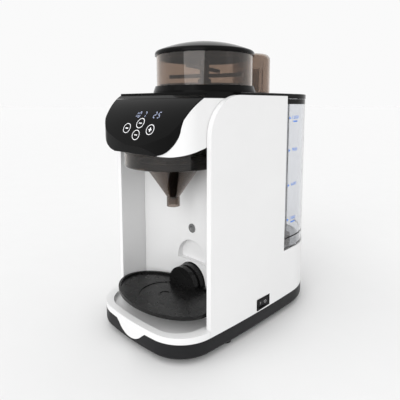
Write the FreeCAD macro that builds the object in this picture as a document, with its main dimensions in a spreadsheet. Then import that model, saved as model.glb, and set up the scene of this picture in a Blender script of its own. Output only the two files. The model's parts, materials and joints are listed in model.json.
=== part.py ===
import FreeCAD, Part
import math
import os
import Sketcher
from types import SimpleNamespace
from FreeCAD import Placement, Rotation, Vector

# Countertop baby formula maker. Millimetres, +X to the right, -Y to the front, +Z up.
# The origin is on the worktop under the middle of the machine.

os.makedirs("parts", exist_ok=True)
doc = FreeCAD.newDocument("FormulaMaker")

# Driving dimensions, one spreadsheet row each
DIMENSIONS = {
    # outline seen from above
    "width": 190, "depth": 303, "side_radius": 1876, "side_widest": 61,
    "front_radius": 422, "rear_radius": 420, "front_corner": 50, "rear_corner": 86,
    "gap": 0.3,
    # base
    "foot_height": 6, "foot_radius": 7.5, "foot_x": 77, "foot_front": -63, "foot_rear": 46,
    "base_top": 25, "base_wall": 3, "base_edge": 5, "notch_width": 46, "notch_depth": 12,
    "drip_rim": 33, "drip_floor": 2.2, "drip_border": 13, "drip_lip": 9, "well_back": -60,
    # side panels and bay
    "panel_wall": 6.5, "panel_front": -102, "panel_top": 303, "panel_corner": 47,
    "bay_wall_y": -44, "bay_wall_radius": 250, "bay_wall_thick": 3,
    "sensor_height": 122.5, "sensor_radius": 6.5,
    "socket_radius": 26.5, "socket_depth": 7, "socket_low": 47, "socket_step": 32,
    "rear_seam": 52,
    # bottle tray
    "tray_x": 77, "tray_y": 48.4, "tray_centre": -94.7, "tray_top": 49.6, "tray_thick": 5.5,
    "tray_rim": 3.2, "tray_step": 33.4, "tray_hub": 7, "tab_radius": 25, "tab_front": -64,
    # head and control panel
    "head_front": 10, "head_corner": 28, "head_bottom": 235, "head_underside": 245,
    "head_top": 299, "crease_height": 244, "fascia": 3, "fascia_proud": 1.2, "head_wall": 2.6,
    "panel_slope_y": -99, "fascia_wide": 84, "fascia_waist": 70.5, "fascia_foot": 41,
    "control_board_x": 62, "control_board_y": -104,
    # funnel
    "holder_y": -78.3, "holder_radius": 61.3, "holder_bottom": 215.3, "holder_top": 232.7,
    "holder_wall": 2.4,
    "cone_radius": 37, "cone_foot": 173.7, "cup_gap": 1,
    "spout_radius": 8.6, "spout_bottom": 161, "funnel_wall": 1.8,
    # deck, powder container and lid
    "deck_thick": 3, "container_y": -19, "container_radius": 65, "container_wall": 2.2,
    "container_bottom": 309, "container_top": 356, "foot_flare": 4.5, "foot_ring_height": 7,
    "lid_overhang": 2.2, "lid_dome": 14, "lid_edge": 5, "lid_wall": 2.4, "outlet_inset": 22,
    "outlet_radius": 11, "tube_wall": 1.6, "seat_inset": 3, "seat_thick": 2.7,
    # powder drive
    "shaft_radius": 4, "wheel_thick": 6, "hub_radius": 9, "stirrer_gap": 11,
    "gear_teeth": 36, "pinion_teeth": 12, "gear_module": 1.5, "gear_thick": 7, "gear_height": 279,
    "motor_radius": 17, "motor_height": 46,
    # power board
    "board_x": -9, "board_y": 18, "board_wide": 42, "board_tall": 60,
    # water tank
    "tank_front": 40, "tank_inset": 1, "tank_wall": 2.4, "tank_bottom": 92, "tank_top": 299.5,
    "channel_x": 60, "channel_back": 94, "shelf_thick": 4, "valve_x": 75, "valve_y": 62,
    "valve_radius": 9, "spring_wire": 0.6, "spring_turns": 3, "spring_height": 9.2,
    "cap_radius": 28, "cap_y": 88, "cap_height": 62,
    # switch and inlet
    "switch_y": -6, "switch_height": 34.7, "switch_length": 27, "switch_tall": 14.5,
    "pivot_radius": 1.6,
    "inlet_height": 52, "inlet_wide": 27.6, "inlet_tall": 20,
}

sheet = doc.addObject("Spreadsheet::Sheet", "Sizes")
for row, (alias, value) in enumerate(DIMENSIONS.items(), start=1):
    sheet.set(f"A{row}", alias)
    sheet.set(f"B{row}", str(value))
    sheet.setAlias(f"B{row}", alias)
doc.recompute()


class Size(float):
    """A number read from the sheet that keeps the expression it came from."""

    def __new__(cls, value, text):
        size = float.__new__(cls, value)
        size.text = text
        return size

    def _join(self, other, sign, value, swap=False):
        left, right = (as_text(other), self.text) if swap else (self.text, as_text(other))
        return Size(value, f"({left} {sign} {right})")

    def __add__(self, other):
        return self._join(other, "+", float(self) + float(other))

    def __radd__(self, other):
        return self._join(other, "+", float(self) + float(other), True)

    def __sub__(self, other):
        return self._join(other, "-", float(self) - float(other))

    def __rsub__(self, other):
        return self._join(other, "-", float(other) - float(self), True)

    def __mul__(self, other):
        return self._join(other, "*", float(self) * float(other))

    def __rmul__(self, other):
        return self._join(other, "*", float(self) * float(other), True)

    def __truediv__(self, other):
        return self._join(other, "/", float(self) / float(other))


def as_text(number):
    return number.text if isinstance(number, Size) else repr(float(number))


S = SimpleNamespace(**{alias: Size(sheet.get(alias), f"Sizes.{alias}") for alias in DIMENSIONS})
nodes = []

# Sizes that follow the container
FOOT_RING_RADIUS = S.container_radius + S.foot_flare
LID_RADIUS = S.container_radius + S.lid_overhang
SEAT_RADIUS = S.container_radius - S.seat_inset
STIRRER_ARM = S.container_radius - S.stirrer_gap
OUTLET_Y = S.container_y - S.container_radius + S.outlet_inset


# Helpers for the document's objects

def keep(thing, label, at=None):
    """Registers an object as a finished piece of the machine."""
    thing.Label = label
    if at is not None:
        thing.Placement = Placement(Vector(*at), Rotation())
    nodes.append(thing)
    return thing


def feature(label, shape):
    """A piece whose form comes from Part's own functions."""
    thing = doc.addObject("Part::Feature", label)
    thing.Shape = shape
    return keep(thing, label)


def origin_plane(body, role):
    return next(item for item in body.Origin.OriginFeatures if item.Role == role)


def sketch_in(body, role, name):
    sketch = body.newObject("Sketcher::SketchObject", name)
    sketch.AttachmentSupport = [(origin_plane(body, role), "")]
    sketch.MapMode = "FlatFace"
    return sketch


def draw_polygon(sketch, points):
    """Closes a polygon whose corners are held by dimensions from the sheet."""
    first = sketch.GeometryCount
    count = len(points)
    for here, there in zip(points, points[1:] + points[:1]):
        line = Part.LineSegment(Vector(here[0], here[1], 0), Vector(there[0], there[1], 0))
        sketch.addGeometry(line, False)
    for index in range(count):
        after = first + (index + 1) % count
        sketch.addConstraint(Sketcher.Constraint("Coincident", first + index, 2, after, 1))
    for index, point in enumerate(points):
        for kind, number, axis in (("DistanceX", point[0], -2), ("DistanceY", point[1], -1)):
            if float(number) == 0:
                sketch.addConstraint(Sketcher.Constraint("PointOnObject", first + index, 1, axis))
                continue
            number_at = sketch.addConstraint(
                Sketcher.Constraint(kind, first + index, 1, float(number)))
            if isinstance(number, Size):
                sketch.setExpression(f"Constraints[{number_at}]", number.text)


def turned(label, profile, at):
    """A round piece: a half profile of (radius, height) corners turned about its own axis."""
    body = doc.addObject("PartDesign::Body", label)
    sketch = sketch_in(body, "XZ_Plane", label + "_profile")
    draw_polygon(sketch, profile)
    turn = body.newObject("PartDesign::Revolution", label + "_turn")
    turn.Profile = sketch
    turn.ReferenceAxis = (sketch, ["V_Axis"])
    turn.Angle = 360
    sketch.Visibility = False
    return keep(body, label, at)


# Helpers for free shapes

def box(x0, x1, y0, y1, z0, z1):
    return Part.makeBox(x1 - x0, y1 - y0, z1 - z0, Vector(x0, y0, z0))


def cylinder(radius, z0, z1, x=0.0, y=0.0):
    return Part.makeCylinder(radius, z1 - z0, Vector(x, y, z0))


def along_y(radius, y0, y1, x, z):
    return Part.makeCylinder(radius, y1 - y0, Vector(x, y0, z), Vector(0, 1, 0))


def oval(rx, ry, z0, z1, y):
    """An upright oval cylinder, longer across than deep."""
    major, minor = max(rx, ry), min(rx, ry)
    ellipse = Part.Ellipse(Vector(0, y, z0), major, minor)
    if ry > rx:
        ellipse.rotate(Placement(Vector(0, y, z0), Vector(0, 0, 1), 90))
    return Part.Face(Part.Wire(ellipse.toShape())).extrude(Vector(0, 0, z1 - z0))


def side_x(y, inset=0.0):
    """Half the machine's width at y."""
    reach = S.side_radius - inset
    return S.width / 2 - S.side_radius + math.sqrt(reach**2 - (y - S.side_widest) ** 2)


def corner_of(end_centre, end_radius, side_centre, side_radius_here, towards):
    """Where an end arc meets the right side arc; towards is -1 at the front, 1 at the rear."""
    between = side_centre - end_centre
    span = between.Length
    along = (end_radius**2 - side_radius_here**2 + span**2) / (2 * span)
    across = math.sqrt(end_radius**2 - along**2)
    middle = end_centre + between * (along / span)
    normal = Vector(-between.y, between.x, 0) * (across / span)
    both = (middle + normal, middle - normal)
    return max(both, key=lambda point: point.x * 2 + towards * point.y)


def block(inset, z0, z1, front_back=0.0, front_corner=None):
    """The machine's outline from above, drawn in by inset and raised from z0 to z1."""
    front_corner = S.front_corner if front_corner is None else front_corner
    front_centre = Vector(0, -S.depth / 2 + S.front_radius + front_back, 0)
    rear_centre = Vector(0, S.depth / 2 - S.rear_radius, 0)
    right_centre = Vector(S.width / 2 - S.side_radius, S.side_widest, 0)
    front_reach, rear_reach = S.front_radius - inset, S.rear_radius - inset
    side_reach = S.side_radius - inset
    front_right = corner_of(front_centre, front_reach, right_centre, side_reach, -1)
    rear_right = corner_of(rear_centre, rear_reach, right_centre, side_reach, 1)
    front_left = Vector(-front_right.x, front_right.y, 0)
    rear_left = Vector(-rear_right.x, rear_right.y, 0)
    front_tip = Vector(0, front_centre.y - front_reach, 0)
    rear_tip = Vector(0, rear_centre.y + rear_reach, 0)
    side_tip = Vector(right_centre.x + side_reach, S.side_widest, 0)
    arcs = [
        Part.Arc(front_left, front_tip, front_right),
        Part.Arc(front_right, side_tip, rear_right),
        Part.Arc(rear_right, rear_tip, rear_left),
        Part.Arc(rear_left, Vector(-side_tip.x, side_tip.y, 0), front_left),
    ]
    wire = Part.Wire([arc.toShape() for arc in arcs])
    wire.translate(Vector(0, 0, z0))
    solid = Part.Face(wire).extrude(Vector(0, 0, z1 - z0))
    for chosen, radius in ((-1, front_corner - inset), (1, S.rear_corner - inset)):
        edges = [
            edge for edge in solid.Edges
            if edge.BoundBox.ZLength > (z1 - z0) / 2 and edge.BoundBox.Center.y * chosen > 0
        ]
        solid = solid.makeFillet(max(radius, 2.0), edges)
    return solid


def prism_x(points, x0, x1):
    """A YZ outline of points and arc middles, extruded along X. An arc is a pair of points."""
    start = points[0]
    here = Vector(x0, *start)
    edges = []
    for item in points[1:] + [start]:
        if isinstance(item[0], tuple):
            middle, end = (Vector(x0, *point) for point in item)
            edges.append(Part.Arc(here, middle, end).toShape())
        else:
            end = Vector(x0, *item)
            edges.append(Part.LineSegment(here, end).toShape())
        here = end
    return Part.Face(Part.Wire(edges)).extrude(Vector(x1 - x0, 0, 0))


def prism_y(points, y0, y1):
    """An XZ outline of points and arc middles, extruded along Y."""
    here = Vector(points[0][0], y0, points[0][1])
    start = here
    edges = []
    for item in points[1:] + [points[0]]:
        if isinstance(item[0], tuple):
            middle, end = (Vector(point[0], y0, point[1]) for point in item)
            edges.append(Part.Arc(here, middle, end).toShape())
        else:
            end = Vector(item[0], y0, item[1])
            edges.append(Part.LineSegment(here, end).toShape())
        here = end
    return Part.Face(Part.Wire(edges)).extrude(Vector(0, y1 - y0, 0))


def soften(shape, radius, chosen):
    """Fillets the edges that chosen() picks."""
    edges = [edge for edge in shape.Edges if chosen(edge)]
    return shape.makeFillet(radius, edges) if edges else shape


def level(z, slack=0.01):
    """Picks edges that lie flat at height z."""
    return lambda edge: abs(edge.BoundBox.ZMin - z) < slack and abs(edge.BoundBox.ZMax - z) < slack


FAR = 400.0


# Base

def notch_shape(grow):
    """The finger notch in the base's front edge, seen from the front."""
    half, depth, top = S.notch_width / 2 + grow, S.notch_depth + grow, S.base_top
    return prism_y([
        (-half - 6, top + 1), (-half, top - 0.3 * depth),
        ((0, top - depth - 2), (half, top - 0.3 * depth)), (half + 6, top + 1),
    ], -FAR, -S.depth / 4)


def base_pan():
    shell = block(0, S.foot_height, S.base_top)
    shell = soften(shell, S.base_edge, level(S.foot_height))
    hollow = block(S.base_wall, S.foot_height + S.base_wall, S.base_top + 1)
    shell = shell.cut(hollow).cut(notch_shape(0))
    feature("base_pan", shell)


def feet():
    pads = []
    for x in (-S.foot_x, S.foot_x):
        for y in (S.foot_front, S.foot_rear):
            foot = cylinder(S.foot_radius, 0, S.foot_height, x, y)
            pads.append(soften(foot, 1.2, level(0)))
    feature("feet", Part.makeCompound(pads))


def bay_front(offset):
    """Everything in front of the bay wall's face, drawn forward by offset."""
    reach = S.bay_wall_radius
    centre_y = S.bay_wall_y - reach - offset
    wide = Part.makeCylinder(reach, FAR, Vector(0, centre_y, -10))
    return wide


def drip_pan():
    lower, upper = S.base_top + S.gap, S.drip_rim
    front = block(0, lower, upper).common(box(-FAR, FAR, -FAR, S.panel_front - S.gap, 0, FAR))
    half = side_x(S.panel_front) - S.panel_wall - 0.6
    inner = block(S.panel_wall + 0.6, lower, upper)
    inner = inner.common(box(-half, half, S.panel_front - 10, 0, 0, FAR))
    slab = front.fuse(inner.common(bay_front(0.5))).removeSplitter()
    well = block(S.drip_border, lower + S.drip_floor, upper + 5, S.drip_lip - S.drip_border)
    well = well.common(box(-FAR, FAR, -FAR, S.well_back, 0, FAR))
    well = soften(well, 3.5, level(lower + S.drip_floor))
    pan = slab.cut(well)
    lip = block(0, 0, upper - 2).cut(block(S.base_wall, -1, upper))
    lip = lip.common(notch_shape(-0.35)).common(box(-FAR, FAR, -FAR, FAR, 0, lower + 1))
    pan = pan.fuse(lip).removeSplitter()
    feature("drip_pan", pan)


# Body

def panel_side(sign):
    """The panel's outline seen from the side: front edge, quarter-round corner, tank notch."""
    front, top, radius = S.panel_front, S.panel_top, S.panel_corner
    bend = radius * (1 - math.sqrt(0.5))
    low, notch_z, tank_y = S.base_top + S.gap, S.tank_bottom - S.gap - 0.2, S.tank_front - S.gap
    return prism_x([
        (front, low), (front, top - radius),
        ((front + bend, top - bend), (front + radius, top)),
        (tank_y, top), (tank_y, notch_z), (FAR, notch_z), (FAR, low),
    ], 0 if sign > 0 else -FAR, FAR if sign > 0 else 0)


def side_panels():
    shell = block(0, S.base_top + S.gap, S.panel_top).cut(
        block(S.panel_wall, S.base_top - 1, S.panel_top + 1))
    for label, sign in (("side_panel_right", 1), ("side_panel_left", -1)):
        panel = shell.common(panel_side(sign))
        panel = panel.cut(box(-S.rear_seam, S.rear_seam, 0, FAR, 0, FAR))
        if sign > 0:
            panel = panel.cut(switch_opening(0.2))
        feature(label, panel)


def rear_cover():
    top = S.tank_bottom - S.gap - 0.2
    cover = block(0, S.base_top + S.gap, top).cut(block(S.base_wall, S.base_top - 1, top + 1))
    half = S.rear_seam - S.gap
    cover = cover.common(box(-half, half, 0, FAR, 0, FAR))
    feature("rear_cover", cover.cut(inlet_block(S.gap, 0, FAR)))


def tank_shelf():
    top = S.tank_bottom - S.gap
    shelf = block(S.panel_wall + 0.4, top - S.shelf_thick, top)
    shelf = shelf.common(box(-FAR, FAR, S.tank_front, FAR, 0, FAR))
    seat = cylinder(S.valve_radius + 3, top - S.shelf_thick - 8, top, S.valve_x, S.valve_y)
    shelf = shelf.fuse(seat).cut(
        cylinder(S.valve_radius, top - S.shelf_thick - 5, top + 1, S.valve_x, S.valve_y))
    feature("tank_shelf", shelf.removeSplitter())


def chassis_plate():
    low = S.base_top + S.gap
    plate = block(S.panel_wall + 0.4, low, low + 3)
    rear_edge = S.bay_wall_y + S.bay_wall_thick
    plate = plate.common(box(-FAR, FAR, rear_edge + S.socket_depth + 4, FAR, 0, FAR))
    for x in (S.board_x - S.board_wide / 2, S.board_x + S.board_wide / 2):
        post = box(x - 3, x + 3, S.board_y - 3, S.board_y + 5, low + 2.9, low + 18)
        plate = plate.fuse(post)
    slot = box(S.board_x - S.board_wide / 2 - 0.3, S.board_x + S.board_wide / 2 + 0.3,
               S.board_y - 0.2, S.board_y + 1.8, low + 5.7, FAR)
    plate = plate.cut(slot).cut(switch_opening(0.5))
    feature("chassis_plate", plate.removeSplitter())


def partition():
    low, high = S.tank_bottom + S.gap, S.tank_top - 1
    wing = box(-FAR, FAR, S.tank_front - 3, S.tank_front - 1, low, high)
    wing = wing.common(block(S.panel_wall + 0.4, low, high))
    outer = box(-S.channel_x + 1, S.channel_x - 1, S.tank_front - 3, S.channel_back - 1, low, high)
    inner = box(-S.channel_x + 3, S.channel_x - 3, 0, S.channel_back - 3, low - 1, high + 1)
    feature("partition", wing.fuse(outer).cut(inner).removeSplitter())


def bay_wall():
    low, high = S.base_top + S.gap, S.head_underside - S.gap - 0.2
    inside = block(S.panel_wall + 0.4, low, high)
    front_face = bay_front(0)
    back_face = Part.makeCylinder(
        S.bay_wall_radius + S.bay_wall_thick, FAR,
        Vector(0, S.bay_wall_y - S.bay_wall_radius, -10))
    wall = inside.common(back_face).cut(front_face)
    wall = wall.common(box(-FAR, FAR, S.bay_wall_y - 30, FAR, 0, FAR))
    socket_back = S.bay_wall_y + S.socket_depth + 2.5
    housing = box(-S.socket_radius - 3, S.socket_radius + 3, S.bay_wall_y - 2, socket_back,
                  S.socket_low - 3, S.socket_low + 2 * S.socket_step + 3)
    wall = wall.fuse(housing.cut(front_face))
    for index in range(2):
        centre = S.socket_low + index * S.socket_step
        floor = S.tray_top - S.tray_thick - 0.5 + index * S.socket_step
        reach, back = S.socket_radius, S.bay_wall_y + S.socket_depth
        arch = along_y(reach, S.bay_wall_y - 10, back, 0, centre)
        arch = arch.fuse(box(-reach, reach, S.bay_wall_y - 10, back, floor, centre))
        wall = wall.cut(arch.common(box(-FAR, FAR, -FAR, FAR, floor, FAR)))
    wall = wall.cut(along_y(S.sensor_radius, S.bay_wall_y - 5, S.bay_wall_y + 5, 0, S.sensor_height))
    reach, floor = S.holder_radius + S.cup_gap, S.holder_bottom - 0.6
    cup = cylinder(reach + 2.5, floor - 2.5, high, 0, S.holder_y)
    wall = wall.fuse(cup.cut(front_face))
    wall = wall.cut(cylinder(reach, floor, high + 5, 0, S.holder_y))
    wall = wall.cut(cylinder(S.cone_radius + 1.5, floor - 8, floor + 5, 0, S.holder_y))
    feature("bay_wall", wall.removeSplitter())


def bottle_sensor():
    lens = along_y(S.sensor_radius - 0.2, S.bay_wall_y - 0.5, S.bay_wall_y + 9, 0, S.sensor_height)
    dimple = Part.makeSphere(6, Vector(0, S.bay_wall_y - 5.2, S.sensor_height))
    feature("bottle_sensor", lens.cut(dimple))


# Bottle tray

def bottle_tray():
    top, low = S.tray_top, S.tray_top - S.tray_thick
    dish = oval(S.tray_x, S.tray_y, low, top, S.tray_centre)
    dish = soften(dish, 1.6, level(low))
    floor = top - 2.6
    dish = dish.cut(oval(S.tray_x - S.tray_rim, S.tray_y - S.tray_rim, floor, top + 1, S.tray_centre))
    dish = dish.cut(cylinder(S.tray_step, floor - 0.8, top, 0, S.tray_centre))
    dish = dish.cut(cylinder(S.tray_hub, floor - 1.6, top, 0, S.tray_centre))
    back = S.bay_wall_y + S.socket_depth - 0.6
    tab = along_y(S.tab_radius, S.tab_front, back, 0, S.socket_low)
    groove = along_y(S.tab_radius + 1, S.tab_front + 7, S.tab_front + 11, 0, S.socket_low)
    groove = groove.cut(along_y(S.tab_radius - 2.5, -FAR, FAR, 0, S.socket_low))
    tab = tab.cut(groove).common(box(-FAR, FAR, -FAR, FAR, low, FAR))
    feature("bottle_tray", dish.fuse(tab).removeSplitter())


# Head and control panel

def head_profile(inset, floor):
    """The head from the side: band, crease, bowed slope, flat top, underside raised by floor."""
    front = -S.depth / 2 + S.head_front
    crease = Vector(front, S.crease_height, 0)
    top = Vector(S.panel_slope_y, S.panel_top, 0)
    chord = top - crease
    outward = Vector(-chord.y, chord.x, 0).normalize()
    bow = chord.Length / 9
    middle = (crease + top) * 0.5 + outward * bow
    arc = Part.Arc(crease, middle, top).toShape().Curve
    centre, radius = arc.Center, arc.Radius
    pulled = [centre + (point - centre) * ((radius - inset) / radius) for point in (crease, middle, top)]
    crease, middle, top = ((point.x, point.y) for point in pulled)
    back = S.bay_wall_y + 4
    return prism_x([
        (front + 2.5 + inset, S.head_bottom + floor), crease, (middle, top), (top[0], FAR),
        (back, FAR), (back, S.head_underside + floor),
        (S.panel_front, S.head_underside + floor),
    ], -FAR, FAR)


def head_solid(inset, floor, z0, z1, proud=0.0):
    """The head drawn in by inset, its front moved forward by proud."""
    side = S.panel_wall + 0.5
    body = block(side + inset, z0, z1, S.head_front - side - proud, S.head_corner + side)
    return body.common(head_profile(inset - proud, floor))


def fascia_front(grow):
    """The control panel seen from the front: wide at the top, drawn in to a round foot."""
    top, low = S.panel_top + 5, S.head_bottom - 5
    wide, waist, foot = S.fascia_wide + grow, S.fascia_waist + grow, S.fascia_foot + grow
    bend, foot_z = S.crease_height + 22, S.head_bottom + 1
    cheek = (waist - 9, S.head_bottom + 11)
    shoulder = (waist + 3.5, bend + 15)
    return prism_y([
        (-wide, top), ((-shoulder[0], shoulder[1]), (-waist, bend)),
        ((-cheek[0], cheek[1]), (-foot, foot_z)), (-foot + 8, low),
        (foot - 8, low), (foot, foot_z), (cheek, (waist, bend)), (shoulder, (wide, top)),
    ], -FAR, -60)


def head_parts():
    low, high = S.head_bottom - 3, S.head_top
    outer = head_solid(0, 0, low, high)
    core = head_solid(S.fascia, 0, low, high)
    fascia = head_solid(0, 0, low, high, S.fascia_proud).cut(core).common(fascia_front(0))
    fascia = fascia.common(box(-FAR, FAR, -FAR, S.panel_slope_y + 4, 0, FAR))
    feature("control_panel", fascia)
    rebate = outer.cut(head_solid(S.fascia + 0.2, 0, low, high)).common(fascia_front(0.3))
    inset = S.fascia + 0.2 + S.head_wall
    shell = outer.cut(rebate).cut(head_solid(inset, S.head_wall, low, high - S.head_wall))
    shell = shell.cut(cylinder(S.holder_radius - 6, low - 1, S.head_underside + 5, 0, S.holder_y))
    shell = shell.cut(cylinder(SEAT_RADIUS + 0.6, high - 5, high + 1, 0, S.container_y))
    rear, floor = S.control_board_y + 20, S.head_underside + 1
    for x in (-S.control_board_x + 4, S.control_board_x - 4):
        rib = box(x - 1.5, x + 1.5, S.control_board_y + 1.9, rear, floor, floor + 41)
        shell = shell.fuse(rib)
    feature("head_shell", shell.removeSplitter())


def funnel_collar():
    """The fixed dark ring that closes the gap between the drawer's ring and the head."""
    foot = S.holder_top + 0.5
    ring = cylinder(S.holder_radius, foot, S.head_underside - 0.1, 0, S.holder_y)
    ring = ring.cut(cylinder(S.holder_radius - S.holder_wall, 0, FAR, 0, S.holder_y))
    ring = ring.cut(head_profile(-0.1, -0.1)).cut(head_profile(-S.fascia_proud - 0.2, -0.1))
    feature("funnel_collar", ring)


# Funnel drawer

def funnel_parts():
    foot, top = S.holder_bottom, S.holder_top
    ring = soften(cylinder(S.holder_radius, foot, top, 0, S.holder_y), 2, level(foot))
    bore = cylinder(S.holder_radius - S.holder_wall, foot + 2.2, top + 1, 0, S.holder_y)
    ring = ring.cut(bore).cut(cylinder(S.cone_radius + 1.5, foot - 1, foot + 5, 0, S.holder_y))
    feature("funnel_holder", ring)

    wall, base = S.funnel_wall, S.spout_bottom
    flange = foot + 2.2 + S.gap
    spout, cone, rim = S.spout_radius, S.cone_radius, S.holder_radius - S.holder_wall - 1
    turned("mixing_funnel", [
        (spout, 0), (spout, S.cone_foot - base), (cone, foot - base), (cone, flange - base),
        (rim, flange - base), (rim, flange + wall - base), (cone - wall, flange + wall - base),
        (cone - wall, foot - base), (spout - wall, S.cone_foot - base), (spout - wall, 0),
    ], (0, S.holder_y, base))
    feature("mixing_nozzle", mixing_nozzle(flange + wall + S.gap))


def mixing_nozzle(seat):
    """The dark inner cone, hung by three spokes from a ring that rests at height seat."""
    base, y = S.spout_bottom + 10, S.holder_y
    cone = Part.makeCone(4.2, 9.5, seat - base, Vector(0, y, base))
    cone = cone.cut(Part.makeCone(3, 8.3, seat - base, Vector(0, y, base)))
    collar = cylinder(12.5, seat, seat + 1.8, 0, y).cut(cylinder(8.3, seat - 1, seat + 3, 0, y))
    ring = cylinder(S.cone_radius + 9, seat, seat + 1.8, 0, y)
    ring = ring.cut(cylinder(S.cone_radius + 5, seat - 1, seat + 3, 0, y))
    spokes = []
    for turn in range(3):
        spoke = box(12, S.cone_radius + 6, -1.2, 1.2, seat, seat + 1.8)
        spoke.rotate(Vector(0, 0, 0), Vector(0, 0, 1), 120 * turn + 30)
        spoke.translate(Vector(0, y, 0))
        spokes.append(spoke)
    return cone.fuse([collar, ring] + spokes).removeSplitter()


# Deck, powder container and lid

def top_deck():
    low, high = S.panel_top + S.gap, S.panel_top + S.gap + S.deck_thick
    corner = S.panel_front + S.panel_corner
    deck = soften(block(0.4, low, high), 1, level(high))
    deck = deck.common(box(-FAR, FAR, corner, S.tank_front - S.gap, 0, FAR))
    nose = head_solid(0, 0, S.head_bottom, high, S.fascia_proud)
    nose = nose.common(box(-FAR, FAR, -FAR, corner + 1, S.head_top + S.gap, high))
    nose = nose.cut(cylinder(SEAT_RADIUS + 0.6, 0, S.panel_top + 0.1, 0, S.container_y))
    bulge = cylinder(FOOT_RING_RADIUS + 0.6, low, high, 0, S.container_y)
    bulge = bulge.common(box(-FAR, FAR, S.container_y, FAR, 0, FAR))
    deck = deck.fuse([nose, bulge]).removeSplitter()
    hole = cylinder(S.container_radius - 7.5, low - 1, high + 1, 0, S.container_y)
    feature("top_deck", deck.cut(hole))


def container_seat():
    """The disc under the deck that the container stands on, with its locating rim."""
    top, y = S.panel_top, S.container_y
    seat = cylinder(SEAT_RADIUS, top - S.seat_thick, top, 0, y)
    seat = seat.common(box(-FAR, FAR, -FAR, S.tank_front - S.gap, 0, FAR))
    rim = cylinder(S.container_radius - 7.9, top - 1, S.container_bottom - S.gap, 0, y)
    rim = rim.cut(cylinder(S.container_radius - 10.5, top - 2, FAR, 0, y))
    seat = seat.fuse(rim)
    seat = seat.cut(cylinder(S.outlet_radius + S.tube_wall + S.gap, 0, FAR, 0, OUTLET_Y))
    seat = seat.cut(cylinder(S.shaft_radius + 0.06, 0, FAR, 0, y))
    feature("container_seat", seat.removeSplitter())


def powder_chute():
    """The tube that drops powder into the funnel, hung by its collar from the seat's underside."""
    base, outer = S.holder_top + 4.3, S.outlet_radius + S.tube_wall
    rise, collar = S.container_bottom - S.gap - base, S.panel_top - S.seat_thick - 0.1 - base
    turned("powder_chute", [
        (S.outlet_radius, 0), (S.outlet_radius, rise), (outer, rise), (outer, collar),
        (outer + 2.5, collar), (outer + 2.5, collar - 2), (outer, collar - 2), (outer, 0),
    ], (0, OUTLET_Y, base))


def container_parts():
    deck = S.panel_top + S.gap + S.deck_thick
    y = S.container_y
    reach, wall, foot = S.container_radius, S.container_wall, S.container_bottom
    shell = cylinder(reach, foot, S.container_top, 0, y)
    shell = shell.cut(cylinder(reach - wall, foot + 3, S.container_top + 1, 0, y))
    shell = shell.cut(cylinder(S.shaft_radius + 0.3, foot - 1, foot + 5, 0, y))
    shell = shell.cut(cylinder(S.outlet_radius, foot - 1, foot + 5, 0, OUTLET_Y))
    feature("powder_container", shell)
    rise = foot + S.foot_ring_height - deck
    turned("container_foot", [
        (reach + 0.3, rise), (reach + 2, rise), (FOOT_RING_RADIUS, 3), (FOOT_RING_RADIUS, 0.3),
        (reach - 5, 0.3), (reach - 5, foot - deck - 0.3), (reach + 0.3, foot - deck - 0.3),
    ], (0, y, deck))
    lid_parts()


def lid_parts():
    """The domed lid, with a spigot that enters the container's mouth."""
    reach, low, y = LID_RADIUS, S.container_top + S.gap, S.container_y
    brim = low + 5
    lid = cylinder(reach, low, brim, 0, y)
    sphere = reach**2 / (2 * S.lid_dome) + S.lid_dome / 2
    crown = Part.makeSphere(sphere, Vector(0, y, brim + S.lid_dome - sphere))
    crown = crown.common(cylinder(reach, brim - 0.1, brim + 40, 0, y))
    lid = soften(lid.fuse(crown).removeSplitter(), 4.5,
                 lambda edge: abs(edge.BoundBox.ZMin - brim) < 0.2 and edge.BoundBox.ZLength < 0.2)
    plug = S.container_radius - S.container_wall - 0.4
    spigot = cylinder(plug, low - S.lid_edge, low + 0.2, 0, y)
    inner = Part.makeSphere(sphere - S.lid_wall, Vector(0, y, brim + S.lid_dome - sphere))
    inner = inner.common(cylinder(plug - 2, low - S.lid_edge - 1, brim + 40, 0, y))
    feature("container_lid", lid.fuse(spigot).removeSplitter().cut(inner))


# Powder drive

def dosing_parts():
    y, floor = S.container_y, S.container_bottom + 3
    reach = S.container_radius - S.container_wall - 1
    wheel = cylinder(reach, floor + 0.4, floor + 0.4 + S.wheel_thick, 0, y)
    pocket_reach = abs(OUTLET_Y - y)
    for turn in range(12):
        angle = math.radians(30 * turn)
        x_at, y_at = pocket_reach * math.cos(angle), y + pocket_reach * math.sin(angle)
        wheel = wheel.cut(cylinder(S.outlet_radius - 1.5, floor, floor + 20, x_at, y_at))
    hub = cylinder(S.hub_radius, floor + 0.4, floor + 14, 0, y)
    wheel = wheel.fuse(hub).cut(cylinder(S.shaft_radius + 0.02, floor - 1, floor + 20, 0, y))
    feature("dosing_wheel", wheel.removeSplitter())

    base = floor + 14.2
    spindle = cylinder(6.5, base, S.container_top - 6, 0, y)
    spindle = spindle.fuse(Part.makeCone(6.5, 3, 4, Vector(0, y, S.container_top - 6)))
    arms = []
    for height, turn in ((base + 2, 20), (base + 12, 110)):
        arm = box(-STIRRER_ARM, STIRRER_ARM, -2, 2, 0, 5)
        arm.rotate(Vector(0, 0, 0), Vector(0, 0, 1), turn)
        arm.translate(Vector(0, y, height))
        arms.append(arm)
    bore = cylinder(S.shaft_radius + 0.02, base - 1, base + 8, 0, y)
    feature("stirrer", spindle.fuse(arms).cut(bore).removeSplitter())


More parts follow.
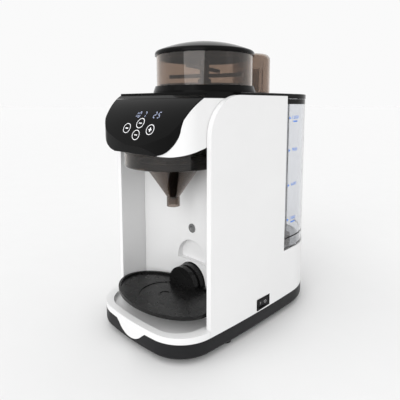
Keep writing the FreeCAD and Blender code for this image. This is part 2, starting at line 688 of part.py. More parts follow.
def gear(teeth, thick, bore):
    """A spur gear with straight-flanked teeth about its own origin."""
    pitch = S.gear_module * teeth / 2
    tip, root = pitch + 0.9 * S.gear_module, pitch - 1.2 * S.gear_module
    half = math.pi / (2 * teeth) - 0.12 / pitch
    points = []
    for tooth in range(teeth):
        middle = 2 * math.pi * tooth / teeth
        for radius, angle in ((root, -half * 1.55), (tip, -half * 0.5), (tip, half * 0.5),
                              (root, half * 1.55)):
            points.append(Vector(radius * math.cos(middle + angle),
                                 radius * math.sin(middle + angle), 0))
    outline = Part.makePolygon(points + points[:1])
    return Part.Face(outline).extrude(Vector(0, 0, thick)).cut(cylinder(bore, -1, thick + 1))


def drive_parts():
    y, height = S.container_y, S.gear_height
    shaft = cylinder(S.shaft_radius, height - 6, S.container_bottom + 3 + 14.2 + 7, 0, y)
    feature("drive_shaft", shaft)
    wheel = gear(int(S.gear_teeth), S.gear_thick, S.shaft_radius + 0.02)
    wheel.translate(Vector(0, y, height))
    feature("drive_gear", wheel)
    spacing = S.gear_module * (S.gear_teeth + S.pinion_teeth) / 2
    pinion = gear(int(S.pinion_teeth), S.gear_thick + 1, 2.05)
    pinion.rotate(Vector(0, 0, 0), Vector(0, 0, 1), 90 + 180 / float(S.pinion_teeth))
    pinion.rotate(Vector(0, 0, 0), Vector(0, 0, 1), 180)
    pinion.translate(Vector(0, y + spacing, height - 0.5))
    feature("motor_pinion", pinion)
    feature("motor_shaft", cylinder(2, height - 7.5, height + 8, 0, y + spacing))
    motor_top = height - 4
    motor = cylinder(S.motor_radius, motor_top - S.motor_height, motor_top, 0, y + spacing)
    motor = soften(motor, 2, level(motor_top - S.motor_height))
    motor = motor.cut(cylinder(2.06, motor_top - 12, motor_top + 1, 0, y + spacing))
    feature("gear_motor", motor)
    plate_low = height - 4 + S.gap
    plate = block(S.panel_wall + 0.4, plate_low, plate_low + 2)
    plate = plate.common(box(-FAR, FAR, S.bay_wall_y + 5, S.tank_front - 3.4, 0, FAR))
    plate = plate.cut(cylinder(S.shaft_radius + 0.06, 0, FAR, 0, y))
    plate = plate.cut(cylinder(4, 0, FAR, 0, y + spacing))
    feature("gear_plate", plate)


# Water tank

def tank_hollow(inset, z0, z1):
    """The tank's plan, round the channel in its front, drawn in by inset."""
    shape = block(S.tank_inset + inset, z0, z1)
    shape = shape.common(box(-FAR, FAR, S.tank_front + inset, FAR, 0, FAR))
    half = S.channel_x + inset
    return shape.cut(box(-half, half, 0, S.channel_back + inset, 0, FAR))


def tank_parts():
    low, top, wall = S.tank_bottom, S.tank_top, S.tank_wall
    tank = tank_hollow(0, low, top).cut(tank_hollow(wall, low + wall, top + 1))
    tank = tank.cut(cylinder(S.valve_radius - 2.5, low - 1, low + 5, S.valve_x, S.valve_y))
    feature("water_tank", tank)
    neck = low + wall
    housing = cylinder(S.valve_radius + 3, neck + 0.05, neck + 14, S.valve_x, S.valve_y)
    housing = housing.cut(cylinder(S.valve_radius, neck - 1, neck + 12, S.valve_x, S.valve_y))
    for turn in range(4):
        slot = box(-2, 2, 0, 30, neck + 3, neck + 9)
        slot.rotate(Vector(0, 0, 0), Vector(0, 0, 1), 90 * turn + 45)
        slot.translate(Vector(S.valve_x, S.valve_y, 0))
        housing = housing.cut(slot)
    feature("valve_cage", housing)
    stem = cylinder(2, low - 4, neck + 2, S.valve_x, S.valve_y)
    head = cylinder(S.valve_radius - 0.6, neck + 0.3, neck + 2.3, S.valve_x, S.valve_y)
    feature("valve_poppet", stem.fuse(head).removeSplitter())


def biarc(start, start_way, end, end_way):
    """Two arcs that leave start along start_way and reach end along end_way."""
    across, both = end - start, start_way + end_way
    square = both.dot(both) - 4
    linear = -2 * across.dot(both)
    reach = (-linear - math.sqrt(linear**2 - 4 * square * across.dot(across))) / (2 * square)
    knots = (start + start_way * reach, end - end_way * reach)
    joint = (knots[0] + knots[1]) * 0.5
    edges = []
    for first, knot, last in ((start, knots[0], joint), (joint, knots[1], end)):
        chord_middle = (first + last) * 0.5
        half = (last - first).Length / 2
        turn = math.acos(half / reach)
        bulge = (knot - chord_middle).normalize() * (half * math.tan(turn / 2))
        edges.append(Part.Arc(first, chord_middle + bulge, last).toShape())
    return edges


def coil_path(reach, rise, turns, per_turn=4):
    """A helix of biarcs about Z, with its height at each point in even steps."""
    pitch = rise / turns
    points, ways = [], []
    for step in range(turns * per_turn + 1):
        angle = 2 * math.pi * step / per_turn
        points.append(Vector(reach * math.cos(angle), reach * math.sin(angle),
                             pitch * step / per_turn))
        ways.append(Vector(-reach * math.sin(angle), reach * math.cos(angle),
                           pitch / (2 * math.pi)).normalize())
    edges = []
    for step in range(turns * per_turn):
        edges += biarc(points[step], ways[step], points[step + 1], ways[step + 1])
    return Part.Wire(edges), ways[0]


def least_gap(path, wire, turns, samples=240):
    """The least clear distance between one turn and the next, measured on points."""
    points = path.discretize(samples)
    skip = samples // (2 * turns)
    nearest = min(
        (points[late] - points[early]).Length
        for early in range(samples) for late in range(early + skip, samples))
    return nearest - 2 * wire


def valve_spring():
    neck = S.tank_bottom + S.tank_wall + 2.5
    wire, turns, rise = S.spring_wire, int(S.spring_turns), S.spring_height
    path, way = coil_path(S.valve_radius - 3, rise - 2 * wire, turns)
    profile = Part.Wire(Part.makeCircle(wire, path.Vertexes[0].Point, way))
    sweep = Part.BRepOffsetAPI.MakePipeShell(path)
    sweep.add(profile)
    sweep.build()
    sweep.makeSolid()
    coil = sweep.shape()
    coil.translate(Vector(S.valve_x, S.valve_y, neck + wire))
    print(f"valve_spring least gap to itself {least_gap(path, wire, turns):.2f}")
    feature("valve_spring", coil)


def tank_lid():
    low, high = S.tank_top + S.gap, S.panel_top + S.gap + S.deck_thick
    lid = block(0.4, low, high).common(box(-FAR, FAR, S.tank_front + S.gap, FAR, 0, FAR))
    lid = soften(lid, 1.2, level(high))
    lid = lid.cut(cylinder(FOOT_RING_RADIUS + 0.6 + S.gap, 0, FAR, 0, S.container_y))
    feature("tank_lid", lid)
    y, reach = S.cap_y, S.cap_radius
    cap = cylinder(reach, high + S.gap, high + S.cap_height, 0, y)
    cap = soften(cap, 9, level(high + S.cap_height))
    hollow = cylinder(reach - 2, high - 1, high + S.cap_height - 2, 0, y)
    hollow = soften(hollow, 7.5, level(high + S.cap_height - 2))
    feature("filter_cover", cap.cut(hollow))
    base = cylinder(reach - 4, high, high + 5, 0, y)
    core = cylinder(12, high + 4.9, high + 40, 0, y)
    feature("filter_core", soften(base.fuse(core).removeSplitter(), 1.5, level(high + 40)))
    tubes = []
    for sign in (-1, 1):
        tubes.append(cylinder(3, high + 5.1, high + 52, 17.5 * sign, y))
    feature("filter_tubes", Part.makeCompound(tubes))


# Works inside the body

def inner_works():
    floor = S.base_top + S.gap + 3.2
    body = cylinder(16, floor, floor + 52, -52, -4)
    pump_head = cylinder(19, floor + 51.9, floor + 70, -52, -4)
    feature("water_pump", soften(body.fuse(pump_head).removeSplitter(), 1.5, level(floor + 70)))
    boiler = soften(cylinder(24, floor, floor + 120, 46, -4), 5, level(floor + 120))
    feature("water_heater", boiler)
    left, face, foot = S.board_x - S.board_wide / 2, S.board_y, floor + 2.8
    board = box(left, left + S.board_wide, face, face + 1.6, foot, foot + S.board_tall)
    parts = [
        box(left + 8, left + 22, face - 13, face, foot + 6, foot + 26),
        box(left + 26, left + 36, face - 15, face, foot + 6, foot + 18),
        box(left + 8, left + 34, face - 5, face, foot + 34, foot + 52),
    ]
    feature("power_board", board.fuse(parts).removeSplitter())
    half, y, low = S.control_board_x, S.control_board_y, S.head_underside + 4
    feature("control_board", box(-half, half, y, y + 1.6, low, low + 38))
    feature("display_module", box(-32, 32, y - 7, y - 0.1, low + 20, low + 34))


# Power switch and mains inlet

def switch_opening(grow):
    half_y, half_z = S.switch_length / 2 + grow, S.switch_tall / 2 + grow
    return box(S.width / 2 - 14 - grow, FAR, S.switch_y - half_y, S.switch_y + half_y,
               S.switch_height - half_z, S.switch_height + half_z)


def switch_parts():
    x = side_x(S.switch_y)
    frame = switch_opening(0).common(box(0, x + 0.6, -FAR, FAR, 0, FAR))
    half_y, half_z = S.switch_length / 2 - 3, S.switch_tall / 2 - 2.2
    frame = frame.cut(box(x - 9, FAR, S.switch_y - half_y, S.switch_y + half_y,
                          S.switch_height - half_z, S.switch_height + half_z))
    pivot = x - 4.0
    frame = frame.cut(cylinder(S.pivot_radius + 0.06, S.switch_height - half_z - 1.4,
                               S.switch_height + half_z + 1.4, pivot, S.switch_y))
    feature("switch_frame", frame)
    length, tall = half_y - 1.3, half_z - 0.3
    outline = [
        (pivot - 3.5, S.switch_y - 3), (pivot + 1.0, S.switch_y - length),
        (pivot + 2.6, S.switch_y - length), (pivot + 3.0, S.switch_y),
        (pivot + 5.2, S.switch_y + length), (pivot + 2.2, S.switch_y + length),
        (pivot - 3.5, S.switch_y + 3),
    ]
    points = [Vector(px, py, S.switch_height - tall) for px, py in outline]
    rocker = Part.Face(Part.makePolygon(points + points[:1])).extrude(Vector(0, 0, 2 * tall))
    axle = cylinder(S.pivot_radius, S.switch_height - tall - 1.2, S.switch_height + tall + 1.2,
                    pivot, S.switch_y)
    feature("power_rocker", rocker.fuse(axle))


def inlet_block(grow, y0, y1):
    half, tall = S.inlet_wide / 2 + grow, S.inlet_tall / 2 + grow
    cut = 5.5
    return prism_y([
        (-half, S.inlet_height - tall), (half, S.inlet_height - tall),
        (half, S.inlet_height + tall - cut), (half - cut, S.inlet_height + tall),
        (-half + cut, S.inlet_height + tall), (-half, S.inlet_height + tall - cut),
    ], y0, y1)


def inlet_parts():
    back = S.depth / 2
    socket = inlet_block(-0.1, back - 24, back - 0.4)
    socket = socket.cut(inlet_block(-2.4, back - 17, back + 1))
    pins = []
    for x, z in ((-7, -2.5), (7, -2.5), (0, 2.5)):
        pins.append(box(x - 1, x + 1, back - 19.5, back - 3, S.inlet_height + z - 2,
                        S.inlet_height + z + 2))
        socket = socket.cut(box(x - 1.1, x + 1.1, back - 20, back - 10, S.inlet_height + z - 2.1,
                                S.inlet_height + z + 2.1))
    feature("mains_inlet", socket.removeSplitter())
    feature("inlet_pins", Part.makeCompound(pins))


# Build every piece

base_pan()
feet()
drip_pan()
side_panels()
rear_cover()
tank_shelf()
chassis_plate()
partition()
bay_wall()
bottle_sensor()
bottle_tray()
head_parts()
funnel_collar()
funnel_parts()
top_deck()
container_seat()
powder_chute()
container_parts()
dosing_parts()
drive_parts()
tank_parts()
valve_spring()
tank_lid()
inner_works()
switch_parts()
inlet_parts()

doc.recompute()
for item in doc.Objects:
    if "Invalid" in item.State or "Error" in item.State:
        raise RuntimeError(f"{item.Label} failed: {item.State}")
for item in nodes:
    if item.Shape.isNull() or not item.Shape.isValid():
        raise RuntimeError(f"{item.Label} has no valid shape")
for item in nodes:
    item.Shape.exportStep(f"parts/{item.Label}.step")
    bounds = item.Shape.BoundBox
    print(f"{item.Label:18s} solids {len(item.Shape.Solids)} volume {item.Shape.Volume:11.0f} "
          f"x {bounds.XMin:7.1f} {bounds.XMax:7.1f} y {bounds.YMin:7.1f} {bounds.YMax:7.1f} "
          f"z {bounds.ZMin:6.1f} {bounds.ZMax:6.1f}")
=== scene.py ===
import json
import math

import bpy
from mathutils import Matrix, Vector
from mathutils.bvhtree import BVHTree


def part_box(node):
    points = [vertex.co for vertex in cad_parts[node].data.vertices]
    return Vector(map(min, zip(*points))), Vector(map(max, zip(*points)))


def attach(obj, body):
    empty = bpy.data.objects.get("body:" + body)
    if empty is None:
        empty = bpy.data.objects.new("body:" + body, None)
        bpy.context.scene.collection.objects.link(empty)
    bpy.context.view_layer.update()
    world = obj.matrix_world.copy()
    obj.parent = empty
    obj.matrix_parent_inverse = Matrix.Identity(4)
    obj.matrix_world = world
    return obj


# Looks for the countertop formula maker. Metres, in the frame of the CAD part.
# The CAD nodes keep their shapes; this script adds materials, printed marks, floor, light and camera.

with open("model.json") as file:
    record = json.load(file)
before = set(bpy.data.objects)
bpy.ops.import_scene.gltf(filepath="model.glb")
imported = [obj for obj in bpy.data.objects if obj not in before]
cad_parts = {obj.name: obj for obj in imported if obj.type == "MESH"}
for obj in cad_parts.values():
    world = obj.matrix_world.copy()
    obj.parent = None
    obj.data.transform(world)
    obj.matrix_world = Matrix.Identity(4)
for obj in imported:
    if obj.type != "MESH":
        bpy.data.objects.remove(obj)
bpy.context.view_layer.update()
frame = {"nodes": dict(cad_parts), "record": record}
nodes = frame["nodes"]
MM = 0.001


# Materials

class Shader:
    """A procedural material with helpers for the few node patterns used here."""

    def __init__(self, name):
        self.material = bpy.data.materials.new(name)
        self.material.use_nodes = True
        self.tree = self.material.node_tree
        self.surface = self.tree.nodes["Principled BSDF"]
        self.place = self.add("ShaderNodeTexCoord").outputs["Object"]

    def add(self, kind, **settings):
        node = self.tree.nodes.new(kind)
        for key, value in settings.items():
            setattr(node, key, value)
        return node

    def link(self, source, target):
        self.tree.links.new(source, target)

    def set(self, **values):
        for key, value in values.items():
            self.surface.inputs[key.replace("_", " ")].default_value = value

    def noise(self, scale, detail=3.0, rough=0.5):
        node = self.add("ShaderNodeTexNoise")
        node.inputs["Scale"].default_value = scale
        node.inputs["Detail"].default_value = detail
        node.inputs["Roughness"].default_value = rough
        self.link(self.place, node.inputs["Vector"])
        return node.outputs["Fac"]

    def spread(self, source, low, high, start=0.3, end=0.7):
        node = self.add("ShaderNodeMapRange")
        for key, value in (("From Min", start), ("From Max", end), ("To Min", low), ("To Max", high)):
            node.inputs[key].default_value = value
        self.link(source, node.inputs["Value"])
        return node.outputs["Result"]

    def blend_colours(self, factor, one, two):
        node = self.add("ShaderNodeMix", data_type="RGBA")
        self.link(factor, node.inputs["Factor"])
        node.inputs["A"].default_value = (*one, 1)
        node.inputs["B"].default_value = (*two, 1)
        return node.outputs["Result"]

    def bump(self, height, strength, distance):
        node = self.add("ShaderNodeBump")
        node.inputs["Strength"].default_value = strength
        node.inputs["Distance"].default_value = distance
        self.link(height, node.inputs["Height"])
        self.link(node.outputs["Normal"], self.surface.inputs["Normal"])

    def tint(self, one, two, scale, detail=3.0):
        """Lets the base colour drift between two near tones."""
        drift = self.spread(self.noise(scale, detail), 0, 1)
        self.link(self.blend_colours(drift, one, two), self.surface.inputs["Base Color"])

    def gloss(self, source, rough):
        """Lets the roughness drift between two values."""
        self.link(self.spread(source, *rough), self.surface.inputs["Roughness"])


def plastic(name, one, two, rough, grain=2500.0, depth=0.00003, strength=0.2, coat=0.0, shine=0.5):
    """Moulded plastic: faint colour drift, uneven gloss and a fine mould grain."""
    tint_scale, gloss_scale, gloss_detail, grain_detail, coat_rough = 14.0, 60.0, 4.0, 2.0, 0.08
    s = Shader(name)
    s.tint(one, two, tint_scale)
    s.gloss(s.noise(gloss_scale, gloss_detail), rough)
    s.bump(s.noise(grain, grain_detail), strength, depth)
    s.set(Coat_Weight=coat, Coat_Roughness=coat_rough, Specular_IOR_Level=shine)
    return s.material


def see_through(name, one, two, rough, ior=1.49):
    """Transparent plastic with a faint drift of tint and mould flow waves."""
    tint_scale, gloss_scale, wave_scale, wave_detail = 10.0, 40.0, 30.0, 1.0
    wave_strength, wave_depth = 0.08, 0.0002
    s = Shader(name)
    s.tint(one, two, tint_scale)
    s.gloss(s.noise(gloss_scale), rough)
    s.bump(s.noise(wave_scale, wave_detail), wave_strength, wave_depth)
    s.set(Transmission_Weight=1.0, IOR=ior)
    return s.material


def metal(name, one, two, rough, brush=400.0):
    """Machined metal, brushed round the part's own Z axis."""
    tint_scale, brush_ratio, brush_strength, brush_depth = 30.0, 30, 0.15, 0.00003
    s = Shader(name)
    s.tint(one, two, tint_scale)
    squeeze = s.add("ShaderNodeMapping")
    squeeze.inputs["Scale"].default_value = (1, 1, brush_ratio)
    s.link(s.place, squeeze.inputs["Vector"])
    streaks = s.add("ShaderNodeTexNoise")
    streaks.inputs["Scale"].default_value = brush
    s.link(squeeze.outputs["Vector"], streaks.inputs["Vector"])
    s.gloss(streaks.outputs["Fac"], rough)
    s.bump(streaks.outputs["Fac"], brush_strength, brush_depth)
    s.set(Metallic=1.0)
    return s.material


def glow(name, colour, strength):
    """A mark that gives off its own light, a little uneven like ink over a light. On the display digits
    this is their backlight; on printed ink it is a painted glow.
    """
    ink_scale, ink_detail, gloss_scale, faded, rough = 900.0, 2.0, 500.0, 0.9, (0.3, 0.5)
    s = Shader(name)
    s.tint(colour, [c * faded for c in colour], ink_scale, ink_detail)
    s.gloss(s.noise(gloss_scale), rough)
    s.set(Emission_Color=(*colour, 1), Emission_Strength=strength)
    return s.material


LOOKS = {
    "white": plastic("white_shell", (0.755, 0.755, 0.755), (0.775, 0.775, 0.775), (0.28, 0.38)),
    "base": plastic("black_base", (0.010, 0.010, 0.011), (0.015, 0.015, 0.016), (0.38, 0.52),
                    grain=1800.0, depth=0.00006, strength=0.35, shine=0.15),
    "gloss": plastic("black_gloss", (0.003, 0.003, 0.003), (0.005, 0.005, 0.005), (0.10, 0.17),
                     depth=0.00001, strength=0.05, shine=0.06),
    "tray": plastic("black_tray", (0.005, 0.005, 0.005), (0.009, 0.009, 0.009), (0.22, 0.32),
                    depth=0.00002, strength=0.1, shine=0.2),
    "smoked": see_through("smoked", (0.46, 0.375, 0.315), (0.42, 0.34, 0.285), (0.02, 0.06)),
    "cone": see_through("smoked_cone", (0.32, 0.26, 0.22), (0.28, 0.225, 0.19), (0.02, 0.06)),
    "deep": see_through("smoked_deep", (0.20, 0.155, 0.125), (0.16, 0.125, 0.10), (0.02, 0.05)),
    "clear": see_through("clear", (0.85, 0.86, 0.88), (0.82, 0.83, 0.85), (0.03, 0.08)),
    "dark": plastic("dark_brown", (0.020, 0.013, 0.009), (0.030, 0.020, 0.014), (0.30, 0.45)),
    "pale": plastic("pale_core", (0.55, 0.42, 0.30), (0.62, 0.49, 0.36), (0.35, 0.5)),
    "acetal": plastic("acetal", (0.70, 0.67, 0.58), (0.76, 0.73, 0.64), (0.35, 0.5)),
    "board": plastic("board", (0.010, 0.09, 0.035), (0.016, 0.12, 0.05), (0.3, 0.5), grain=900.0),
    "rubber": plastic("rubber", (0.012, 0.012, 0.012), (0.02, 0.02, 0.02), (0.6, 0.8), grain=1200.0,
                      depth=0.0001, strength=0.4),
    "sensor": plastic("sensor_lens", (0.10, 0.10, 0.10), (0.14, 0.14, 0.14), (0.08, 0.16), coat=0.5),
    "steel": metal("steel", (0.50, 0.50, 0.50), (0.60, 0.60, 0.60), (0.2, 0.4)),
    "aluminium": metal("aluminium", (0.62, 0.63, 0.64), (0.72, 0.73, 0.74), (0.3, 0.5)),
    "brass": metal("plated_pins", (0.62, 0.52, 0.28), (0.72, 0.62, 0.36), (0.15, 0.3)),
    # Painted glow: the printed key rings shine by their own emission, beyond the light that falls on
    # them.
    "ring_ink_painted_glow": glow("ring_ink_painted_glow", (0.80, 0.80, 0.82), 0.35),
    "digit_light": glow("digit_light", (0.30, 0.34, 0.48), 0.7),
    # Painted glow: the printed level marks on the tank shine faintly by their own emission.
    "blue_ink_painted_glow": glow("blue_ink_painted_glow", (0.004, 0.17, 0.70), 0.1),
    # Painted glow: the printed switch marks shine faintly by their own emission.
    "grey_ink_painted_glow": glow("grey_ink_painted_glow", (0.45, 0.45, 0.45), 0.05),
}

FINISH = {
    "white_shell": "white", "black_base": "base", "black_gloss": "gloss", "smoked": "smoked",
    "clear": "clear", "dark_plastic": "dark", "gear_plastic": "acetal", "pale_plastic": "pale",
    "sensor": "sensor", "rubber": "rubber", "steel": "steel", "aluminium": "aluminium",
    "brass_pin": "brass", "board": "board",
}
OWN_FINISH = {
    "bottle_tray": "tray", "funnel_holder": "deep", "funnel_collar": "deep", "mixing_funnel": "cone",
}

for entry in frame["record"]["subparts"]:
    name = entry["node"]
    look = LOOKS[OWN_FINISH.get(name, FINISH[entry["material_slot"]])]
    slots = nodes[name].data.materials
    if len(slots) == 0:
        slots.append(look)
    for index in range(len(slots)):
        slots[index] = look


# Printed marks

# A side has the direction in which a mark is laid on, and the place outside the part where that starts.
OUTSIDE = 0.4
FRONT = (Vector((0, 1, 0)), lambda u, v: Vector((u, -OUTSIDE, v)))
RIGHT = (Vector((-1, 0, 0)), lambda u, v: Vector((OUTSIDE, u, v)))
LEFT = (Vector((1, 0, 0)), lambda u, v: Vector((-OUTSIDE, u, v)))


def stamp(name, flat, node, face, look, body, lift=0.00004, sink=0.00006):
    """Lays a flat shape, (points, polygons) in metres, on a node's surface as a thin closed skin."""
    points, polygons = flat
    if face is LEFT:
        polygons = [polygon[::-1] for polygon in polygons]
    mesh = nodes[node].data
    surface = BVHTree.FromPolygons([v.co for v in mesh.vertices], [p.vertices for p in mesh.polygons])
    direction, start = face
    front, back = [], []
    for u, v in points:
        hit = surface.ray_cast(start(u, v), direction)[0]
        front.append(hit - direction * lift)
        back.append(hit + direction * sink)
    edges = {}
    for polygon in polygons:
        for a, b in zip(polygon, polygon[1:] + polygon[:1]):
            key = (min(a, b), max(a, b))
            edges[key] = None if key in edges else (a, b)
    count = len(points)
    skin = [tuple(polygon) for polygon in polygons]
    skin += [tuple(count + i for i in reversed(polygon)) for polygon in polygons]
    skin += [(b, a, count + a, count + b) for a, b in filter(None, edges.values())]
    made = bpy.data.meshes.new(name)
    made.from_pydata(front + back, [], skin)
    made.update()
    piece = bpy.data.objects.new(name, made)
    bpy.context.scene.collection.objects.link(piece)
    made.materials.append(LOOKS[look])
    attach(piece, body)


def ring(u, v, radius, width, squash=1.0, steps=48):
    """A flat ring centred at (u, v), squash times as tall as it is wide."""
    points, polygons = [], []
    for step in range(steps):
        angle = 2 * math.pi * step / steps
        for reach in (radius - width, radius):
            points.append((u + reach * math.cos(angle), v + squash * reach * math.sin(angle)))
    for step in range(steps):
        here, there = 2 * step, 2 * ((step + 1) % steps)
        polygons.append([here, here + 1, there + 1, there])
    return points, polygons


def bar(u, v, width, height, slant=0.0):
    """A flat bar centred at (u, v), its top leaning to the right by slant times its height."""
    half, tall = width / 2, height / 2
    return [(u - half - slant * tall, v - tall), (u + half - slant * tall, v - tall),
            (u + half + slant * tall, v + tall), (u - half + slant * tall, v + tall)], [[0, 1, 2, 3]]


def together(*shapes):
    """Several flat shapes as one."""
    points, polygons = [], []
    for more, faces in shapes:
        base = len(points)
        points += more
        polygons += [[base + i for i in face] for face in faces]
    return points, polygons


# The segments that each digit lights
SEGMENTS = {"0": "abcdef", "1": "bc", "2": "abged", "5": "afgcd", "7": "abc"}


def digit(character, u, v, height):
    """A seven segment digit, its middle at (u, v), leaning to the right."""
    wide, line, lean = height * 0.5, height * 0.13, 0.12
    half, tall, gap = wide / 2, height / 2, line * 0.62
    # Each segment's middle, and 1 where it lies flat
    places = {
        "a": (0, tall, 1), "g": (0, 0, 1), "d": (0, -tall, 1), "f": (-half, tall / 2, 0),
        "b": (half, tall / 2, 0), "e": (-half, -tall / 2, 0), "c": (half, -tall / 2, 0),
    }
    shapes = []
    for segment in SEGMENTS[character]:
        du, dv, level = places[segment]
        size = (wide - 2 * gap, line) if level else (line, tall - 2 * gap)
        shapes.append(bar(u + du + lean * dv, v + dv, *size, slant=lean))
    return together(*shapes)


KEY_RADIUS, KEY_LINE, KEY_SQUASH = 6.8 * MM, 0.8 * MM, 0.85
SIGN_LENGTH, SIGN_LINE = 4.8 * MM, 1.3 * MM
STUB_WIDTH, STUB_HEIGHT, STUB_OFFSET = 1.5 * MM, 1.7 * MM, 1.5 * MM
DASH_WIDTH, DASH_HEIGHT, DASH_STEP = 1.4 * MM, 1.2 * MM, 1.9 * MM
# KEYS, DIGITS and LEVELS hold places in millimetres.
KEYS = {"minus": (-17.8, 264), "plus": (26, 264), "upper": (4.5, 270.5), "lower": (3, 257)}
for key, (x, z) in KEYS.items():
    u, v = x * MM, z * MM
    shapes = [ring(u, v, KEY_RADIUS, KEY_LINE, KEY_SQUASH)]
    if key in ("minus", "plus"):
        shapes.append(bar(u, v, SIGN_LENGTH, SIGN_LINE))
    if key == "plus":
        for offset in (STUB_OFFSET, -STUB_OFFSET):
            shapes.append(bar(u, v + offset, STUB_WIDTH, STUB_HEIGHT))
    if key in ("upper", "lower"):
        for offset in (-DASH_STEP, 0, DASH_STEP):
            shapes.append(bar(u + offset, v, DASH_WIDTH, DASH_HEIGHT))
    stamp(f"touch_{key}", together(*shapes), "control_panel", FRONT, "ring_ink_painted_glow", "housing")

DIGIT_HEIGHT, DIGIT_LEVEL = 6.2 * MM, 280.2 * MM
DIGITS = (("1", -10.5), ("0", -4.5), ("7", 5.5), ("2", 24.0), ("5", 31.0))
for number, (character, x) in enumerate(DIGITS):
    stamp(f"digit_{number}", digit(character, x * MM, DIGIT_LEVEL, DIGIT_HEIGHT), "control_panel",
          FRONT, "digit_light", "housing")


def lettering(text, u, v, height, stretch=1.5):
    """Plain numerals as a flat shape, centred at (u, v)."""
    size_to_height, bend_steps = 1.4, 3
    curve = bpy.data.curves.new("numerals", "FONT")
    curve.body = text
    curve.size = height * size_to_height
    curve.align_x, curve.align_y = "CENTER", "CENTER"
    curve.resolution_u = bend_steps
    holder = bpy.data.objects.new("numerals", curve)
    bpy.context.scene.collection.objects.link(holder)
    bpy.context.view_layer.update()
    mesh = bpy.data.meshes.new_from_object(holder.evaluated_get(bpy.context.evaluated_depsgraph_get()))
    points = [(u + stretch * p.co.x, v + p.co.y) for p in mesh.vertices]
    polygons = [list(p.vertices) for p in mesh.polygons]
    bpy.data.objects.remove(holder)
    bpy.data.curves.remove(curve)
    bpy.data.meshes.remove(mesh)
    return points, polygons


def strip(u0, u1, v0, v1, steps=28):
    """A long band, divided along u so that it follows a curved side."""
    points = []
    for step in range(steps + 1):
        u = u0 + (u1 - u0) * step / steps
        points += [(u, v0), (u, v1)]
    polygons = [[2 * i, 2 * i + 2, 2 * i + 3, 2 * i + 1] for i in range(steps)]
    return points, polygons


tank_low, tank_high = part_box("water_tank")
tank_front = tank_low[1]
BAND_FRONT, BAND_REAR = 1.5 * MM, 14 * MM
BANDS = {"seal": (107 * MM, 108.6 * MM), "lid_skirt": (292.5 * MM, 299.3 * MM)}
for band, (low_edge, high_edge) in BANDS.items():
    for side, face in (("right", RIGHT), ("left", LEFT)):
        flat = strip(tank_front + BAND_FRONT, tank_high[1] - BAND_REAR, low_edge, high_edge)
        stamp(f"{band}_{side}", flat, "water_tank", face, "gloss", "tank")

LEVELS = (("1200", 274), ("900", 230), ("600", 182), ("300", 133.5))
UNDERLINED = ("1200", "300")
ARROW_OFFSET, ARROW_REACH = 9 * MM, 2 * MM
TEXT_OFFSET, TEXT_RISE, TEXT_HEIGHT = 13 * MM, 0.6 * MM, 4.4 * MM
LINE_DROP, LINE_LENGTH, LINE_HEIGHT = 4.6 * MM, 11 * MM, 1.8 * MM
for text, z in LEVELS:
    u, v = tank_front + ARROW_OFFSET, z * MM
    arrow = [(u - ARROW_REACH, v - ARROW_REACH), (u + ARROW_REACH, v), (u - ARROW_REACH, v + ARROW_REACH)]
    shapes = [(arrow, [[0, 1, 2]]), lettering(text, u + TEXT_OFFSET, v + TEXT_RISE, TEXT_HEIGHT)]
    if text in UNDERLINED:
        shapes.append(bar(u + TEXT_OFFSET, v - LINE_DROP, LINE_LENGTH, LINE_HEIGHT))
    stamp(f"level_{text}", together(*shapes), "water_tank", RIGHT, "blue_ink_painted_glow", "tank")


rocker_low, rocker_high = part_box("power_rocker")
rocker_middle = [(rocker_low[i] + rocker_high[i]) / 2 for i in range(3)]
OFF_OFFSET, OFF_RADIUS, OFF_LINE = 4.2 * MM, 1.9 * MM, 0.55 * MM
ON_OFFSET, ON_LINE, ON_HEIGHT = 4.6 * MM, 0.6 * MM, 3.6 * MM
off_mark = ring(rocker_middle[1] + OFF_OFFSET, rocker_middle[2], OFF_RADIUS, OFF_LINE, steps=32)
on_mark = bar(rocker_middle[1] - ON_OFFSET, rocker_middle[2], ON_LINE, ON_HEIGHT)
stamp("switch_marks", together(off_mark, on_mark), "power_rocker", RIGHT, "grey_ink_painted_glow", "rocker")


# Floor, light and camera

FLOOR_RADIUS, FLOOR_WHITE = 60.0, 0.786
SKY_STRENGTH, SUN_SPREAD = 0.955, 0.9


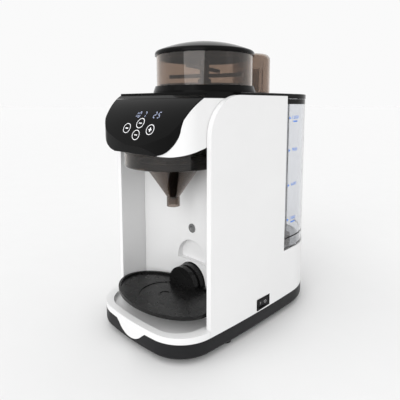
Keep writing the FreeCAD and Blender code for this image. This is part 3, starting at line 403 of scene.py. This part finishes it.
def stage_disc(name, radius, colour):
    """A wide round floor with a faint second tone."""
    steps, second_tone = 96, 0.99
    mesh = bpy.data.meshes.new(name)
    points = [(radius * math.cos(2 * math.pi * i / steps), radius * math.sin(2 * math.pi * i / steps), 0)
              for i in range(steps)]
    mesh.from_pydata(points, [], [tuple(range(steps))])
    floor = bpy.data.objects.new(name, mesh)
    bpy.context.scene.collection.objects.link(floor)
    mesh.materials.append(plastic(name, colour, [c * second_tone for c in colour], (0.5, 0.6),
                                  grain=200.0, depth=0.0, strength=0.0))


stage_disc("floor", FLOOR_RADIUS, (FLOOR_WHITE,) * 3)

world = bpy.data.worlds.new("studio")
bpy.context.scene.world = world
world.use_nodes = True
sky = world.node_tree
background = sky.nodes["Background"]
background.inputs["Strength"].default_value = SKY_STRENGTH
background.inputs["Color"].default_value = (1, 1, 1, 1)


def soft_sun(name, towards, power):
    """An even, very soft light that comes from the given direction."""
    light = bpy.data.lights.new(name, "SUN")
    light.energy = power
    light.angle = SUN_SPREAD
    lamp = bpy.data.objects.new(name, light)
    bpy.context.scene.collection.objects.link(lamp)
    lamp.rotation_euler = (-Vector(towards)).to_track_quat("-Z", "Y").to_euler()


soft_sun("key", (-0.3, -0.9, 1.5), 0.5)
soft_sun("front", (0.45, -1.35, 0.42), 1.25)
soft_sun("right", (1.5, 0.3, 0.9), 0.1)

# The camera was fitted to the edges in the photograph.
CAMERA_PLACE = Vector((0.3726, -0.41695, 0.2925))
YAW, PITCH = 0.764, 0.116
FOCAL_PIXELS, FRAME_PIXELS, AXIS_PIXELS = 393.7, 400.0, 50.0
SENSOR_WIDTH = 36
ahead = Vector((-math.sin(YAW) * math.cos(PITCH), math.cos(YAW) * math.cos(PITCH), -math.sin(PITCH)))
across = Vector((math.cos(YAW), math.sin(YAW), 0))
upwards = across.cross(ahead)
lens = bpy.data.cameras.new("camera")
lens.sensor_width = SENSOR_WIDTH
lens.lens = SENSOR_WIDTH * FOCAL_PIXELS / FRAME_PIXELS
lens.shift_y = -AXIS_PIXELS / FRAME_PIXELS
camera = bpy.data.objects.new("camera", lens)
bpy.context.scene.collection.objects.link(camera)
turn = Matrix((across, upwards, -ahead)).transposed()
camera.matrix_world = Matrix.Translation(CAMERA_PLACE) @ turn.to_4x4()
bpy.context.scene.camera = camera
bpy.context.scene.view_settings.view_transform = "Standard"
